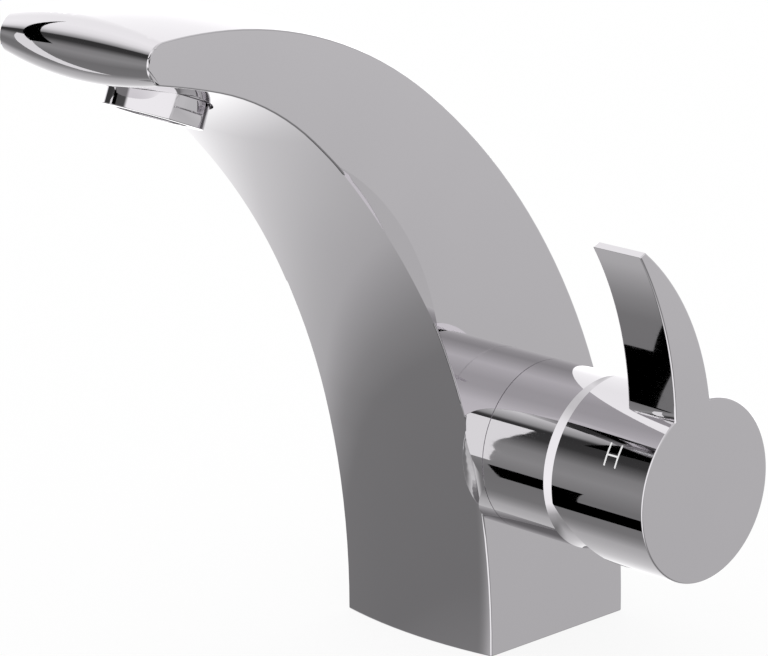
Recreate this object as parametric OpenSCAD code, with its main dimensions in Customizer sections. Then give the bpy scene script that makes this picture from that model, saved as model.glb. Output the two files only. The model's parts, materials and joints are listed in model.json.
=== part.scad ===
// Single-hole basin mixer with an arched, flat-sided body and a side lever.
// The lever turns about the boss axis (X) for temperature and tilts outward for flow.
// +X is the lever's side, -Y the spout's direction and +Z up. The origin is on the deck,
// at the middle of the foot.

/* [Body] */
// Width of the body across its flat sides
body_w = 50; // [44:1:60]
// Depth of the foot at the middle of its width
body_d = 53.2; // [48:0.2:60]
// Radius of the swell across the front, back and top
crown_r = 121.5; // [100:0.5:200]

/* [Back and top curve, at the middle of the width] */
// Radius of the back just above the foot
back_low_r = 224.9; // [210:0.1:240]
// Radius of the back's middle stretch
back_mid_r = 179.1; // [170:0.1:190]
// Radius of the top of the arch
top_r = 121.4; // [115:0.1:128]
// Radius of the top towards the tip
tip_top_r = 130.4; // [120:0.1:140]
// Radius of the spout's rounded tip
nose_r = 7.5; // [6.5:0.1:8]

/* [Front and under curve, at the middle of the width] */
// Height at which the front bends into the throat
front_rise = 136.93; // [134:0.01:140]
// Radius of the front's middle stretch
front_mid_r = 167.6; // [160:0.1:175]
// Radius of the bend from the column to the spout
throat_r = 71.6; // [66:0.1:78]
// Radius of the spout's underside
under_r = 187.1; // [160:0.1:210]

/* [Side facet] */
// Radius of the shallow crescent facet's rear edge
facet_r = 66.7; // [62:0.1:70]
// Place of the facet's centre in front of the origin
facet_y = 108.8; // [104:0.1:112]
// Height of the facet's centre
facet_z = 74.2; // [70:0.1:78]
// Width of the facet's slope in the side view
facet_w = 3.7; // [2:0.1:6]
// Depth of the facet at the front edge
facet_depth = 0.6; // [0.3:0.1:1]

/* [Boss and neck] */
// Distance of the lever's axis in front of the origin
axis_out = 15.1; // [12:0.1:17]
// Height of the lever's axis
axis_z = 54.5; // [48:0.5:62]
// Radius of the boss and of the sleeve after it
boss_r = 21.1; // [20.6:0.1:23]
// Length of the boss beyond the body's side
boss_len = 7.9; // [6:0.1:12]
// Radius of the flare between the body's front edge and the boss
flare_r = 8.2; // [8:0.1:9]
// Distance of the flare's centre behind the middle of the front
flare_back = 5.4; // [5:0.1:6]
// Length of the threaded neck beyond the boss
neck_len = 19.6; // [19:0.1:22]
// Radius of the neck
neck_r = 19.9; // [19.8:0.1:20.1]

/* [Cartridge] */
// Radius of the cartridge's case
case_r = 17.4; // [16.5:0.1:17.6]
// Distance of the chamber's floor from the body's side
floor_in = 2; // [1.5:0.1:3]
// Height of the case from the chamber's floor to its shoulder
case_h = 19.5; // [19.2:0.1:20]
// Thickness of the case's bottom plate
base_t = 4; // [3.6:0.1:4.4]
// Radius of the case's neck
case_neck_r = 12.9; // [12.6:0.1:13.1]
// Height of the case's neck
case_neck_h = 6.5; // [6:0.1:6.8]
// Thickness of the rubber seal under the fixed disc
disc_seal_t = 1; // [0.8:0.1:1.1]
// Thickness of the fixed ceramic disc
fixed_disc_t = 3.2; // [2.8:0.1:3.3]
// Thickness of the moving ceramic disc
moving_disc_t = 2.6; // [2.2:0.1:2.7]
// Thickness of the moving disc's carrier
carrier_t = 4; // [3.8:0.1:4.1]
// Radius of the fixed disc
fixed_disc_r = 13.5; // [12.8:0.1:14.5]
// Radius of the moving disc and its carrier
moving_disc_r = 11.2; // [10.4:0.1:11.4]
// Radius of the water ports
port_r = 3.2; // [2.6:0.1:3.4]
// Distance of the inlet ports from the lever's axis
port_ring_r = 8.7; // [8.2:0.1:9]
// Radius of the rotor in the case's neck
rotor_r = 10.4; // [10:0.1:10.6]
// Radius of the rotor's retaining flange
rotor_flange_r = 12.5; // [12:0.1:12.8]
// Outer radius of the ring nut
nut_r = 18.45; // [18.2:0.05:18.7]
// Height of the ring nut
nut_h = 5; // [4:0.1:5.6]

/* [Stem] */
// Distance of the tilt pivot from the body's side
pivot_out = 25; // [24.8:0.1:25.4]
// Distance from the pivot to the ball that drives the moving disc
ball_arm = 8.6; // [8.4:0.1:8.8]
// Radius of the ball
ball_r = 2.4; // [2:0.1:2.5]
// Side of the stem's square end
stem_square = 8; // [7:0.1:8.4]
// Side of the stem's waist
stem_waist = 6; // [5:0.1:6.2]
// Length of the stem beyond the pivot
stem_len = 27; // [24:0.1:29]
// Radius of the stem's pin
pin_r = 1.5; // [1.2:0.05:1.6]
// Half length of the stem's pin
pin_half = 10; // [8:0.1:10.2]

/* [Sleeve] */
// Wall of the cover sleeve
sleeve_wall = 1.1; // [1:0.05:1.1]
// Length of the sleeve's plain cylinder
sleeve_len = 20.3; // [20:0.1:22]
// Radius of the hole in the sleeve's dome
dome_hole_r = 16.5; // [15.5:0.1:17.5]

/* [Handle] */
// Outer radius of the handle
handle_r = 22.3; // [22.2:0.1:24]
// Gap between the sleeve's cylinder and the handle
handle_gap = 3.2; // [2.8:0.1:3.8]
// Length of the handle
handle_len = 28.1; // [26:0.1:32]
// Wall of the handle
handle_wall = 1.55; // [1.2:0.05:1.6]
// Thickness of the handle's end plate
plate_t = 3; // [2:0.1:4]
// Bevel round the end plate
plate_bevel = 0.4; // [0.2:0.1:0.8]
// Radius of the hub round the stem
hub_r = 8; // [7.2:0.1:8.2]
// Depth of the handle below the axis at which its rear is cut back
cut_drop = 4.4; // [3:0.1:6]
// Angle of the cut-back from the rear face, in degrees
cut_angle = 32.5; // [30:0.5:36]

/* [Lever horn] */
// Width of the horn along the axis
horn_w = 14.5; // [10:0.1:18]
// Radius of the horn's hollow front
horn_front_r = 83; // [80:0.5:86]
// Radius of the horn's round back
horn_back_r = 63; // [60:0.5:66]
// Distance of the horn's tip in front of the axis
horn_tip_out = 23.6; // [20:0.1:28]
// Height of the horn's tip above the axis
horn_tip_up = 60.9; // [56:0.1:66]
// Length of the horn's end face
horn_tip_l = 2.1; // [1.4:0.1:4]
// Slope of the horn's end face, in degrees
horn_tip_slope = 22.8; // [15:0.1:30]

/* [Aerator] */
// Radius of the aerator's collar
collar_r = 12; // [11.8:0.1:13]
// Height of the collar
collar_h = 6.2; // [5:0.1:8]
// Distance of the outlet in front of the origin
outlet_out = 110; // [107:0.1:114]
// Height of the outlet
outlet_z = 145; // [143:0.1:147]
// Tilt of the outlet, in degrees
outlet_tilt = 21.3; // [16:0.1:25]
// Radius of the aerator's thread
aerator_thread_r = 11; // [10.6:0.05:11.3]
// Length of the aerator's thread
aerator_thread_len = 5.8; // [5:0.1:6.6]
// Width of the wrench flats on the collar
wrench_flat_w = 9; // [6:0.1:12]

/* [Casting] */
// Wall of the casting
wall = 4; // [3:0.1:5]
// Height of the plate in the foot
foot_t = 5; // [4:0.1:7]
// Radius of the opening in the foot
foot_hole_r = 16.4; // [15:0.1:17]
// Height of the top of the dry space in the column
dry_top = 76; // [72:1:80]
// Thickness of the floor between the dry space and the spout's
floor_t = 4; // [3:0.1:6]
// Distance of the end of the spout's space in front of the origin
wet_out = 123; // [120:0.5:125]
// Wall of the pipes inside the casting
pipe_wall = 2.5; // [2:0.1:3]

/* [Waterways] */
// Radius of the pipe that rises from the cartridge into the spout
riser_r = 5; // [3.5:0.1:5.5]
// Distance of each inlet from the middle plane
inlet_x = 8; // [7.6:0.1:9]
// Distance of the inlets behind the origin
inlet_y = 4; // [3:0.1:6]
// Radius of the threaded inlets
inlet_r = 4.5; // [4:0.1:5]
// Depth of the threaded inlets
inlet_depth = 18; // [14:0.5:20]
// Radius of the inlets' counterbores
inlet_bore_r = 6.5; // [6:0.1:7]
// Depth of the inlets' counterbores
inlet_bore_h = 5; // [3:0.1:6]

/* [Fixings] */
// Thickness of the deck that the mixer is clamped on
deck_t = 20; // [10:1:40]
// Radius of the stud
stud_r = 3.95; // [2.95:0.05:4.5]
// Distance of the stud in front of the origin
stud_out = 12.5; // [12:0.1:13]
// Depth of the stud in the foot
stud_in = 24; // [16:0.5:26]
// Length of the stud under the deck
stud_under = 42; // [32:1:60]
// Outer radius of the horseshoe clamp
clamp_r = 24; // [22:0.5:28]
// Half width of the horseshoe's opening
clamp_gap = 13.4; // [13.3:0.1:14]
// Distance of the opening's centre behind the origin
clamp_back = 8.2; // [8:0.1:9]
// Thickness of the rubber horseshoe
clamp_rubber_t = 3; // [2:0.1:5]
// Thickness of the steel horseshoe
clamp_plate_t = 2; // [1.5:0.1:3]
// Half width of the fixing nut across its flats
fix_nut_flat = 6.5; // [5.5:0.1:8]
// Length of the fixing nut
fix_nut_len = 20; // [10:1:25]
// Inner radius of the foot's gasket
gasket_r = 18.2; // [17:0.1:18.6]
// Width of the gasket
gasket_w = 3; // [2:0.1:3.6]
// Thickness of the gasket
gasket_t = 2.2; // [1.5:0.1:3]

/* [Hidden] */
$fn = 128;

chrome = [0.78, 0.79, 0.81];
brass = [0.80, 0.64, 0.32];
steel = [0.62, 0.63, 0.65];
ceramic = [0.93, 0.92, 0.88];
rubber = [0.12, 0.12, 0.13];
grey_plastic = [0.45, 0.47, 0.50];
white_plastic = [0.90, 0.91, 0.92];
blue_plastic = [0.25, 0.38, 0.62];

over = 1;
fit = 0.05;
loose = 0.2;

// Points of the side view are [y, z], and its angles run from +Y towards +Z.
function bearing(from, to) = atan2(to[1] - from[1], to[0] - from[0]);
// The point at distance rp from p and rq from q, on the given side of the line from p to q.
function meet(p, rp, q, rq, side) =
    let (d = norm(q - p), a = (rp * rp - rq * rq + d * d) / (2 * d), u = (q - p) / d)
    p + a * u + side * sqrt(rp * rp - a * a) * [-u[1], u[0]];

half_w = body_w / 2;
crown = crown_r - sqrt(crown_r * crown_r - half_w * half_w);

// Directions in which one arc of the outline passes into the next. They come from
// whole-number triangles, so that neighbouring sweeps share a plane to the last digit.
back_low_dir = [3116, 237] / 3125;
back_mid_dir = [3, 4] / 5;
top_dir = [237, 3116] / 3125;
tip_dir = [-237, 3116] / 3125;
front_low_dir = [24, 7] / 25;
front_mid_dir = [10296, 11753] / 15625;
throat_dir = [7, 24] / 25;
foot_dir = [1, 0];
under_foot_dir = [24, -7] / 25;
past_tip_dir = [-7, 24] / 25;

// The lowest front arc fills up the rise. Thousandths keep neighbouring sweeps on one surface.
fine_share = 1000;
front_low_r = round(fine_share * (front_rise - front_mid_r * (front_mid_dir[1] - front_low_dir[1]))
                    / front_low_dir[1]) / fine_share;

back_low_c = [body_d / 2 - back_low_r, 0];
back_mid_c = back_low_c + (back_low_r - back_mid_r) * back_low_dir;
top_c = back_mid_c + (back_mid_r - top_r) * back_mid_dir;
tip_top_c = top_c + (top_r - tip_top_r) * top_dir;
nose_c = tip_top_c + (tip_top_r - nose_r) * tip_dir;
front_low_c = [-body_d / 2 - front_low_r, 0];
front_mid_c = front_low_c + (front_low_r - front_mid_r) * front_low_dir;
throat_c = front_mid_c + (front_mid_r - throat_r) * front_mid_dir;
under_c = throat_c + (throat_r - under_r) * throat_dir;

sweep_share = 0.6;
core_share = 0.7;
core_depth = 70;
tip_fill = 4 * nose_r;
tip_fill_share = 0.2;
clear_share = 1.5;
clear_depth = clear_share * body_d;

seam_x = half_w + boss_len;
neck_end = seam_x + neck_len;
axis_y = -axis_out;

floor_x = half_w + floor_in;
chamber_r = case_r + loose;
nut_bore_r = nut_r + fit;
shoulder_x = floor_x + case_h;
base_top = floor_x + base_t;
seal_top = base_top + disc_seal_t;
fixed_top = seal_top + fixed_disc_t;
moving_top = fixed_top + moving_disc_t;
carrier_top = moving_top + carrier_t;
case_wall = 1.8;
port_seal_w = 1.2;
port_seal_t = 1.4;
base_lift = 0.2;
outlet_up = 8.5;
port_side = port_ring_r * sin(45);
duct_r = port_r - loose;
port_places = [[-port_side, -port_side], [port_side, -port_side], [0, outlet_up]];

pivot_x = half_w + pivot_out;
turn_max = 50;
disc_rest = 1.9;
carrier_flat = 9;
ball_x = pivot_x - ball_arm;
flange_t = 2;
flange_x = carrier_top + 2 * loose;
ledge_x = flange_x + flange_t + loose;
case_top = shoulder_x + case_neck_h;
stop_t = 1.6;
rotor_top = case_top + stop_t;
skirt_out = 11.5;
skirt_half = 6;
slot_low = 5.8;
slot_high = 6.8;
stop_lug_r = 9.2;
stop_lug_half = 8;
stop_slack = 2;
key_w = 2.4;
key_h = 1.2;
mix_depth = 1.4;
square_start = 7.2;
ball_neck_r = 1.9;
ball_flat = 0.15;
nut_gap_r = 0.3;
nut_inner_r = case_neck_r + nut_gap_r;
notch_w = 4;
notch_h = 2;

sleeve_end = seam_x + sleeve_len;
dome_step = 0.2;
dome_r = norm([sleeve_end - pivot_x, boss_r - dome_step]);
sleeve_in_r = boss_r - sleeve_wall;
dome_in_r = norm([sleeve_end - pivot_x, sleeve_in_r - dome_step]);

handle_x = sleeve_end + handle_gap;
handle_end = handle_x + handle_len;
cavity_r = handle_r - handle_wall;
hub_in = 7.6;
hub_x = handle_x + hub_in;
horn_front_angle = 120.1;
horn_back_angle = 87.7;
grub_in = 10;
grub_x = handle_end - grub_in;
grub_r = 2.5;
grub_len = 8;
grub_boss_r = 4.6;
plug_r = 3.2;
plug_t = 2.4;

stud_bore_r = stud_r + fit;
nut_gap = 0.05;
groove_gap = 0.2;

outlet_port = [axis_y, axis_z + outlet_up];
seat_drop = 1;
aerator_shoulder = collar_h + aerator_thread_len + seat_drop;
aerator_mouth_r = 8.5;
aerator_mouth_h = 4;
aerator_cap = 3;
seat_rim = 0.6;
aerator_seat_r = collar_r + seat_rim;
aerator_lip_r = 8.6;
wrench_flat_x = sqrt(pow(collar_r, 2) - pow(wrench_flat_w / 2, 2));
aerator_lip_h = 1.2;
insert_r = 9.6;
insert_h = 7.6;
screen_h = 1.2;
jet_r = 0.9;
jet_rows = 3;
jet_pitch = 2.9;
mesh_pitch = 2.7;

// Turns a drawing of [y, z] points so that it lies in the side view, extruded along X.
module side_view() rotate([90, 0, 90]) children();

// Moves by a long decimal in three short ones.
module place(p) {
    whole = [for (v = p) floor(v)];
    part = [for (n = [0:1]) floor(fine_share * (p[n] - whole[n])) / fine_share];
    translate(whole) translate(part) translate(p - whole - part) children();
}

// Sweeps a profile of [radius, x] round a centre of the side view, from both ends of its turn.
module swept(c, from, to, share = sweep_share) {
    turn = bearing([0, 0], to) - bearing([0, 0], from);
    side_view() place(c) {
        rotate([0, 0, bearing([0, 0], from)]) rotate_extrude(angle = share * turn) children();
        rotate([0, 0, bearing([0, 0], to)]) mirror([0, 1, 0])
            rotate_extrude(angle = share * turn) children();
    }
}

// Moves a shape drawn round Z onto the lever's axis, standing at the given x.
module on_axis(x) translate([x, axis_y, axis_z]) side_view() children();

module on_outlet() translate([0, -outlet_out, outlet_z]) rotate([-outlet_tilt, 0, 0]) children();

// A straight round hole between two points.
module duct(p, q, r) {
    d = q - p;
    translate(p) rotate([0, acos(d[2] / norm(d)), atan2(d[1], d[0])]) cylinder(r = r, h = norm(d));
}

module ring(outer, inner, h)
    difference() {
        cylinder(r = outer, h = h);
        translate([0, 0, -over]) cylinder(r = inner, h = h + 2 * over);
    }

// Profile of a stretch of the back or top, with its swell across the width.
module barrel(r)
    intersection() {
        translate([r - crown_r, 0]) circle(r = crown_r);
        translate([max(0, r - core_depth), -half_w]) square([min(r, core_depth) + crown, body_w]);
    }

// Profile of the open space in front of the body.
module front_space(r)
    difference() {
        translate([max(0, r - clear_depth), -half_w - over])
            square([min(r, clear_depth) + 2 * crown, body_w + 2 * over]);
        translate([r + crown_r, 0]) circle(r = crown_r);
    }

// The same beside the boss, where the space ends on a flare that leads out to the seam.
module flared_space(r)
    difference() {
        translate([r - clear_depth, -half_w - over])
            square([clear_depth + 2 * crown, body_w + over + boss_len]);
        translate([r + crown_r, 0]) circle(r = crown_r);
        translate([r + flare_back, seam_x]) circle(r = flare_r);
        translate([r + flare_back, half_w]) square([2 * flare_r, boss_len + over]);
    }

module arch() {
    swept(back_low_c, foot_dir, back_low_dir) barrel(back_low_r);
    swept(back_mid_c, back_low_dir, back_mid_dir) barrel(back_mid_r);
    swept(top_c, back_mid_dir, top_dir) barrel(top_r);
    swept(tip_top_c, top_dir, tip_dir) barrel(tip_top_r);
    side_view() place(nose_c) rotate([0, 0, bearing([0, 0], tip_dir)]) {
        rotate_extrude(angle = 180) barrel(nose_r);
        translate([0, 0, -half_w]) linear_extrude(body_w)
            polygon([[0, 0], tip_fill * [-1, tip_fill_share], tip_fill * [-1, -1]]);
    }
}

module arch_space() {
    swept(front_low_c, under_foot_dir, front_low_dir) flared_space(front_low_r);
    swept(front_mid_c, front_low_dir, front_mid_dir) flared_space(front_mid_r);
    swept(throat_c, front_mid_dir, throat_dir) front_space(throat_r);
    swept(under_c, throat_dir, past_tip_dir) front_space(under_r);
}

// The casting's inside, a wall in from its outside.
module inside() {
    difference() {
        union() {
            swept(back_low_c, foot_dir, back_low_dir) barrel_inside(back_low_r);
            swept(back_mid_c, back_low_dir, back_mid_dir) barrel_inside(back_mid_r);
            swept(top_c, back_mid_dir, top_dir) barrel_inside(top_r);
            swept(tip_top_c, top_dir, tip_dir) barrel_inside(tip_top_r);
        }
        swept(front_low_c, under_foot_dir, front_low_dir, core_share) front_wall(front_low_r);
        swept(front_mid_c, front_low_dir, front_mid_dir) front_wall(front_mid_r);
        swept(throat_c, front_mid_dir, throat_dir) front_wall(throat_r);
        swept(under_c, throat_dir, past_tip_dir) front_wall(under_r);
    }
}

module barrel_inside(r)
    intersection() {
        translate([r - crown_r, 0]) circle(r = crown_r - wall);
        translate([max(0, r - core_depth), wall - half_w]) square([min(r, core_depth), body_w - 2 * wall]);
    }

module front_wall(r)
    difference() {
        translate([max(0, r - core_depth), -half_w])
            square([min(r, core_depth) + 2 * crown + 2 * wall, body_w]);
        translate([r + crown_r, 0]) circle(r = crown_r - wall);
    }

// The dry space of the column, open at the foot, round the pipes and the stud's boss.
module dry_core()
    difference() {
        intersection() {
            inside();
            union() {
                translate([-half_w, -body_d, foot_t]) cube([body_w, 2 * body_d, dry_top - foot_t]);
                translate([0, 0, -over]) cylinder(r = foot_hole_r, h = foot_t + 2 * over);
            }
        }
        on_axis(floor_x - wall) cylinder(r = chamber_r + wall, h = body_w);
        for (side = [-1, 1]) {
            translate([side * inlet_x, inlet_y, -over])
                cylinder(r = inlet_bore_r + pipe_wall, h = inlet_bore_h + pipe_wall + over);
            translate([side * inlet_x, inlet_y, 0])
                cylinder(r = inlet_r + pipe_wall, h = inlet_depth + pipe_wall);
            duct(inlet_top(side), elbow(side), duct_r + pipe_wall);
            translate(elbow(side) - [port_r + pipe_wall, 0, 0]) side_view()
                cylinder(r = port_r + pipe_wall, h = body_w);
        }
        translate([0, -stud_out, -over])
            cylinder(r = stud_bore_r + pipe_wall, h = stud_in + pipe_wall + over);
        translate([0, outlet_port[0], outlet_port[1]]) side_view()
            cylinder(r = port_r + pipe_wall, h = body_w);
        translate([0, outlet_port[0], outlet_port[1] - riser_r - pipe_wall])
            cylinder(r = riser_r + pipe_wall, h = dry_top);
    }

// The wet space of the spout, from the floor above the dry space to the aerator's seat.
module wet_core()
    difference() {
        intersection() {
            inside();
            translate([-half_w, -wet_out, dry_top + floor_t])
                cube([body_w, wet_out + body_d, 2 * body_d]);
        }
        on_outlet() translate([0, 0, -collar_h])
            cylinder(r = aerator_seat_r + pipe_wall, h = collar_h + aerator_shoulder + aerator_cap);
    }

module side_facet() {
    slope = facet_w / facet_depth;
    translate([half_w - 2 * facet_depth, -facet_y, facet_z]) side_view()
        cylinder(r1 = facet_r - 2 * facet_w, r2 = facet_r + over * slope, h = 2 * facet_depth + over);
}

function inlet_top(side) = [side * inlet_x, inlet_y, inlet_depth - port_r];
function elbow(side) = [side * inlet_x, axis_y - side * port_side, axis_z - port_side];

module waterways() {
    for (side = [-1, 1]) {
        translate([side * inlet_x, inlet_y, -over]) cylinder(r = inlet_bore_r, h = inlet_bore_h + over);
        translate([side * inlet_x, inlet_y, 0]) cylinder(r = inlet_r, h = inlet_depth);
        duct(inlet_top(side), elbow(side), duct_r);
        translate(elbow(side) - [port_r, 0, 0]) side_view()
            cylinder(r = port_r, h = floor_x - elbow(side)[0] + port_r + over);
    }
    translate([0, outlet_port[0], outlet_port[1]]) side_view()
        cylinder(r = port_r, h = floor_x + over);
    translate([0, outlet_port[0], outlet_port[1] - riser_r])
        cylinder(r = riser_r, h = dry_top + floor_t + over - outlet_port[1] + riser_r);
}

module body() color(chrome)
    difference() {
        union() {
            difference() {
                union() {
                    arch();
                    on_axis(half_w - boss_len) cylinder(r = boss_r, h = 2 * boss_len);
                }
                arch_space();
            }
            on_axis(half_w) cylinder(r = neck_r, h = neck_end - half_w);
            on_outlet() translate([0, 0, collar_h]) cylinder(r = aerator_seat_r, h = aerator_thread_len);
        }
        side_facet();
        mirror([1, 0, 0]) side_facet();
        on_axis(floor_x) cylinder(r = chamber_r, h = neck_end);
        on_axis(shoulder_x - seat_drop) cylinder(r = nut_bore_r, h = neck_end);
        dry_core();
        wet_core();
        waterways();
        on_outlet() {
            translate([0, 0, -collar_h]) cylinder(r = aerator_seat_r + loose, h = 2 * collar_h);
            cylinder(r = aerator_thread_r + fit, h = aerator_shoulder);
            cylinder(r = aerator_mouth_r, h = aerator_shoulder + aerator_mouth_h);
        }
        translate([0, -stud_out, -over]) cylinder(r = stud_bore_r, h = stud_in + over);
        translate([0, 0, -over])
            ring(gasket_r + gasket_w + groove_gap, gasket_r - groove_gap, gasket_t + over);
    }

module base_gasket() color(rubber) ring(gasket_r + gasket_w, gasket_r, gasket_t);

module fixing_stud() color(steel)
    translate([0, -stud_out, -deck_t - stud_under]) cylinder(r = stud_r, h = stud_under + deck_t + stud_in);

// Horseshoe outline, open towards the back, with a hole for the stud.
module horseshoe()
    difference() {
        circle(r = clamp_r);
        translate([0, clamp_back]) circle(r = clamp_gap);
        translate([-clamp_gap, clamp_back]) square([2 * clamp_gap, clamp_r]);
        translate([0, -stud_out]) circle(r = stud_bore_r + loose);
    }

module clamp_rubber() color(rubber)
    translate([0, 0, -deck_t - clamp_rubber_t]) linear_extrude(clamp_rubber_t) horseshoe();

module clamp_plate() color(steel)
    translate([0, 0, -deck_t - clamp_rubber_t - clamp_plate_t]) linear_extrude(clamp_plate_t) horseshoe();

module fixing_nut() color(brass)
    translate([0, -stud_out, -deck_t - clamp_rubber_t - clamp_plate_t - fix_nut_len])
        difference() {
            cylinder(r = fix_nut_flat / cos(30), h = fix_nut_len, $fn = 6);
            translate([0, 0, -over]) cylinder(r = stud_r + nut_gap, h = fix_nut_len + 2 * over);
        }

module cover_sleeve() color(chrome) {
    on_axis(seam_x) ring(boss_r, sleeve_in_r, sleeve_len);
    on_axis(pivot_x) difference() {
        sphere(r = dome_r);
        sphere(r = dome_in_r);
        cylinder(r = dome_hole_r, h = 2 * dome_r);
        translate([0, 0, sleeve_end - pivot_x - 2 * dome_r]) cylinder(r = 2 * dome_r, h = 2 * dome_r);
    }
}

module cartridge_nut() color(brass)
    on_axis(shoulder_x) difference() {
        ring(nut_r, nut_inner_r, nut_h);
        for (n = [0:2]) rotate([0, 0, n * 60])
            translate([-2 * nut_r, -notch_w / 2, nut_h - notch_h]) cube([4 * nut_r, notch_w, 2 * notch_h]);
    }

module at_ports() for (p = port_places) translate(p) children();

module port_seals() color(rubber)
    on_axis(floor_x) at_ports() ring(port_r + port_seal_w, port_r, port_seal_t);

module cartridge_base() color(grey_plastic)
    difference() {
        union() {
            on_axis(floor_x + base_lift) cylinder(r = case_r, h = case_wall);
            on_axis(floor_x + base_lift) cylinder(r = case_r - case_wall - fit, h = base_t - base_lift);
            on_axis(base_top - over)
                ring(case_r - case_wall - fit, fixed_disc_r + fit, over + disc_seal_t + fixed_disc_t / 2);
            for (side = [-1, 1]) on_axis(base_top - over)
                translate([side * fixed_disc_r - key_h, -key_w / 2, 0])
                    cube([2 * key_h, key_w, over + disc_seal_t + fixed_disc_t / 2]);
        }
        on_axis(0) at_ports() {
            cylinder(r = port_r, h = base_top + over);
            cylinder(r = port_r + port_seal_w + fit, h = floor_x + port_seal_t);
        }
    }

module cartridge_housing() color(grey_plastic)
    difference() {
        union() {
            on_axis(floor_x + base_lift + case_wall)
                cylinder(r = case_r, h = case_h - base_lift - case_wall);
            on_axis(shoulder_x - over) cylinder(r = case_neck_r, h = case_neck_h + over);
        }
        on_axis(0) cylinder(r = case_r - case_wall, h = ledge_x);
        on_axis(0) cylinder(r = rotor_r + loose, h = case_top + over);
        on_axis(case_top - key_h) stop_keys(fit);
    }

// Two keys that hold the stop ring on the case's neck.
module stop_keys(gap)
    for (side = [-1, 1])
        translate([side * (case_neck_r + rotor_r) / 2 - key_h / 2 - gap, -key_w / 2 - gap, 0])
            cube([key_h + 2 * gap, key_w + 2 * gap, 2 * key_h]);

module stop_ring() color(white_plastic) {
    on_axis(case_top) ring(case_neck_r, rotor_r + loose, stop_t);
    on_axis(case_top) intersection() {
        ring(case_neck_r - key_h, stop_lug_r, stop_t);
        rotate([0, 0, -90]) wedge(stop_lug_half, 2 * case_neck_r, stop_t);
    }
    on_axis(case_top - key_h + fit) intersection() {
        stop_keys(0);
        cylinder(r = case_neck_r, h = key_h + stop_t / 2);
    }
}

// A sector of the given half angle about +X.
module wedge(half, r, h)
    linear_extrude(h)
        polygon([[0, 0], r * [cos(half), -sin(half)], [2 * r, 0], r * [cos(half), sin(half)]]);

module disc_seal() color(rubber)
    on_axis(base_top) difference() {
        cylinder(r = fixed_disc_r - fit, h = disc_seal_t);
        translate([0, 0, -over]) at_ports() cylinder(r = port_r, h = disc_seal_t + 2 * over);
        for (side = [-1, 1]) translate([side * fixed_disc_r - key_h - fit, -key_w / 2 - fit, -over])
            cube([2 * (key_h + fit), key_w + 2 * fit, disc_seal_t + 2 * over]);
    }

module fixed_disc() color(ceramic)
    on_axis(seal_top) difference() {
        cylinder(r = fixed_disc_r, h = fixed_disc_t);
        translate([0, 0, -over]) at_ports() cylinder(r = port_r, h = fixed_disc_t + 2 * over);
        for (side = [-1, 1]) translate([side * fixed_disc_r - key_h - fit, -key_w / 2 - fit, -over])
            cube([2 * (key_h + fit), key_w + 2 * fit, fixed_disc_t + 2 * over]);
    }

module moving_disc() color(ceramic)
    on_axis(fixed_top) translate([0, -disc_rest, 0]) difference() {
        cylinder(r = moving_disc_r, h = moving_disc_t);
        translate([0, disc_rest / 2, -over]) cylinder(r = moving_disc_r / 2, h = mix_depth + over);
    }

module disc_carrier() color(blue_plastic)
    difference() {
        on_axis(moving_top) translate([0, -disc_rest, 0]) intersection() {
            cylinder(r = moving_disc_r, h = carrier_t);
            translate([-carrier_flat, -moving_disc_r - over, -over])
                cube([2 * carrier_flat, 2 * (moving_disc_r + over), carrier_t + 2 * over]);
        }
        on_axis(ball_x - ball_r - 2 * loose) translate([-ball_r - loose, -ball_r - loose, 0])
            cube([2 * (ball_r + loose), 2 * (ball_r + loose), 2 * carrier_t]);
    }

module rotor() color(white_plastic)
    difference() {
        union() {
            on_axis(flange_x) cylinder(r = rotor_flange_r, h = flange_t);
            on_axis(flange_x) cylinder(r = rotor_r, h = rotor_top - flange_x);
            for (side = [0, 180]) on_axis(moving_top + over) rotate([0, 0, side])
                translate([carrier_flat + loose, -skirt_half, 0])
                    cube([skirt_out - carrier_flat - loose, 2 * skirt_half, flange_x - moving_top]);
        }
        on_axis(0) translate([-stem_waist / 2 - loose, -slot_low, 0])
            cube([stem_waist + 2 * loose, slot_low + slot_high, rotor_top + over]);
        on_axis(pivot_x) rotate([0, 90, 0]) translate([0, 0, -rotor_r - over])
            cylinder(r = pin_r + fit, h = 2 * (rotor_r + over));
        on_axis(case_top - loose) difference() {
            rotate([0, 0, -90]) wedge(turn_max + stop_lug_half + stop_slack, 2 * rotor_r, 2 * stop_t);
            translate([0, 0, -over]) cylinder(r = stop_lug_r - 2 * loose, h = 4 * stop_t);
        }
    }

module stem_pin() color(steel)
    on_axis(pivot_x) rotate([0, 90, 0]) translate([0, 0, -pin_half]) cylinder(r = pin_r, h = 2 * pin_half);

module stem() color(steel)
    difference() {
        union() {
            on_axis(ball_x) sphere(r = ball_r);
            on_axis(ball_x) cylinder(r = ball_neck_r, h = ball_arm - stem_waist / 2);
            on_axis(pivot_x - stem_waist / 2 - over) translate([-stem_waist / 2, -stem_waist / 2, 0])
                cube([stem_waist, stem_waist, square_start + stem_waist]);
            on_axis(pivot_x + square_start) translate([-stem_square / 2, -stem_square / 2, 0])
                cube([stem_square, stem_square, stem_len - square_start]);
        }
        on_axis(pivot_x) rotate([0, 90, 0]) translate([0, 0, -stem_square])
            cylinder(r = pin_r + fit, h = 2 * stem_square);
        on_axis(ball_x - 2 * ball_r) cylinder(r = ball_r, h = ball_r + ball_flat);
    }

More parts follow.
